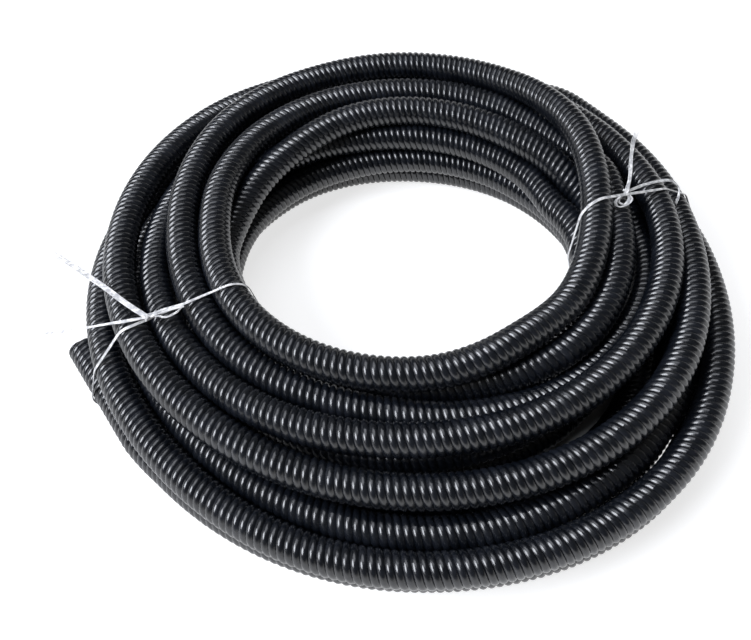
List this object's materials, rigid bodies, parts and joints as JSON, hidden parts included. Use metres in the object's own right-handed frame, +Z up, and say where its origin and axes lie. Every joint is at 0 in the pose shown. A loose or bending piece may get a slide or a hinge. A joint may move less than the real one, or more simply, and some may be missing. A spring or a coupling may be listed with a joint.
{
  "type": "corrugated conduit",
  "caption": "Round coil of black flexible corrugated conduit, lying flat and held by twine ties, with its free end open.",
  "frame": {"origin": "on the coil's axis, at the floor that the coil lies on", "axes": "+Z up along the coil's axis; +X to the right and +Y away from the viewer who has the free end at the left"},
  "size_m": [0.5506, 0.5388, 0.1138],
  "materials": {
    "conduit": "glossy black extruded plastic",
    "twine": "white split-film polypropylene twine"
  },
  "bodies": {
    "root": {"conduit": "conduit", "tie_left": "twine", "tie_right": "twine"}
  },
  "joints": []
}
